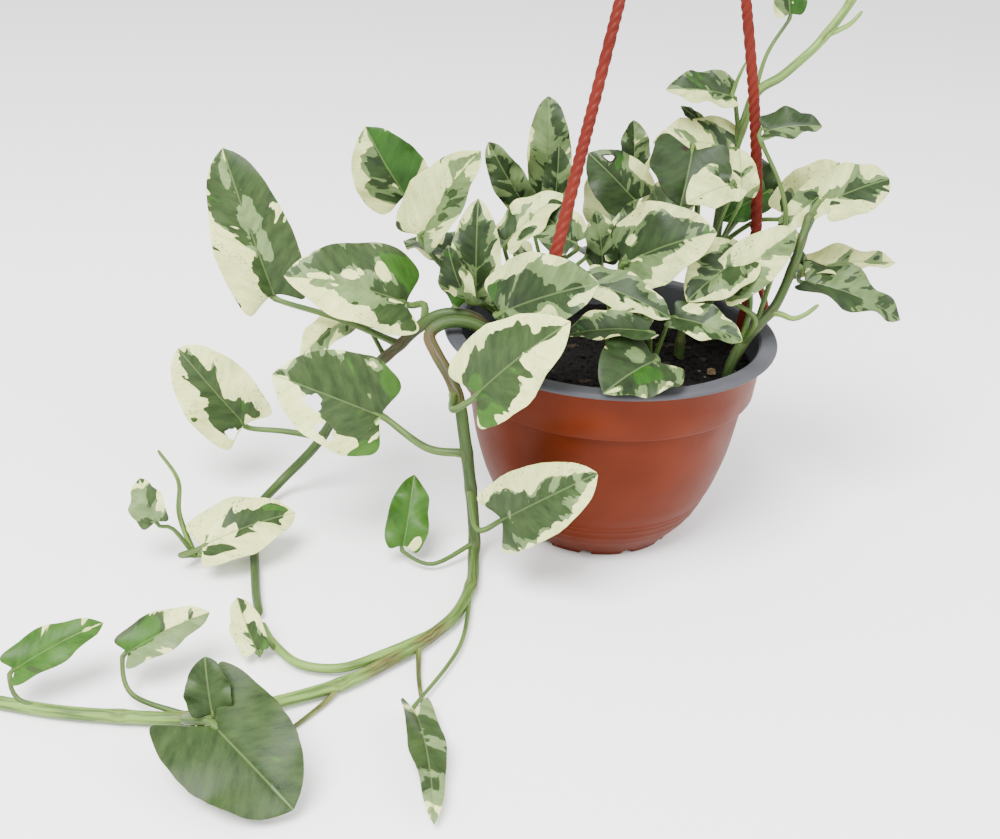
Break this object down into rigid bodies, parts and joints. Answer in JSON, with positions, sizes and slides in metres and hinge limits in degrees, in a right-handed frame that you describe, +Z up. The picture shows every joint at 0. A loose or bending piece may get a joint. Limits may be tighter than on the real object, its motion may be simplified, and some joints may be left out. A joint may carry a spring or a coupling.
{
  "type": "potted trailing plant",
  "caption": "Variegated trailing pothos in a round plastic hanging pot, with soil, clip-on hanger strands and a hook.",
  "frame": {"origin": "centre of the pot's flat base, on the surface that it stands on", "axes": "+Z up along the pot's axis, -Y towards the viewer of the picture, +X to the viewer's right"},
  "size_m": [0.4859, 0.425, 0.5334],
  "materials": {
    "pot_plastic": "satin terracotta plastic, grey on the rim and inside",
    "peat": "damp crumbly peat",
    "hanger_plastic": "satin brick-red plastic with a twisted-rope relief",
    "pothos_leaf": "waxy leaf, green with cream and sage patches"
  },
  "bodies": {
    "root": {"pot": "pot_plastic", "soil": "peat", "strand_front": "hanger_plastic", "strand_right": "hanger_plastic", "strand_rear": "hanger_plastic", "hook": "hanger_plastic", "vine_left": "pothos_leaf", "vine_front": "pothos_leaf", "stem_right": "pothos_leaf", "stem_tall": "pothos_leaf", "clump_left": "pothos_leaf", "clump_rear": "pothos_leaf", "clump_centre": "pothos_leaf", "clump_front": "pothos_leaf", "clump_right": "pothos_leaf", "clump_back": "pothos_leaf"}
  },
  "joints": []
}
